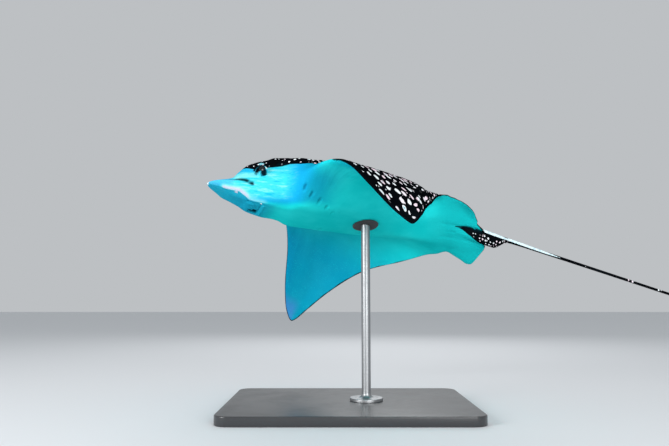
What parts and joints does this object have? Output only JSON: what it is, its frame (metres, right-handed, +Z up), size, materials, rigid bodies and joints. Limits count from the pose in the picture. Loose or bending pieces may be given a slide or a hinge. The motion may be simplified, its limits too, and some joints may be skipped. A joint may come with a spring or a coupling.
{
  "type": "spotted eagle ray",
  "caption": "Still, life-size spotted eagle ray gliding with its wings curled down, whip tail trailing, held over a flat base by an upright rod.",
  "frame": {"origin": "centre of the underside of the stand's base", "axes": "+Z up; +X runs from the head towards the tail; -Y is the side that the animal's left wing reaches to"},
  "size_m": [3.5591, 1.2374, 0.835],
  "materials": {
    "skin_dark": "smooth wet-looking skin, near black with white spots",
    "skin_pale": "smooth skin, pale blue-green under a dark back",
    "spine": "bony, whitish, fine barbs",
    "eye": "glossy, dark",
    "stand_board": "black satin paint",
    "stand_steel": "fine brushed",
    "stand_pad": "matte black pad"
  },
  "bodies": {
    "root": {"rostral_lobe": "skin_pale", "head": "skin_pale", "trunk_front": "skin_pale", "trunk_rear": "skin_pale", "wing_left_inner": "skin_dark", "wing_left_outer": "skin_dark", "wing_right_inner": "skin_dark", "wing_right_outer": "skin_dark", "pelvic_fin_left": "skin_pale", "pelvic_fin_right": "skin_pale", "tail_root": "skin_dark", "tail_front": "skin_dark", "tail_middle": "skin_dark", "tail_tip": "skin_dark", "dorsal_fin": "skin_dark", "sting_front": "spine", "sting_rear": "spine", "eye_left": "eye", "eye_right": "eye", "stand_base": "stand_board", "stand_rod": "stand_steel", "stand_saddle": "stand_pad"}
  },
  "joints": []
}
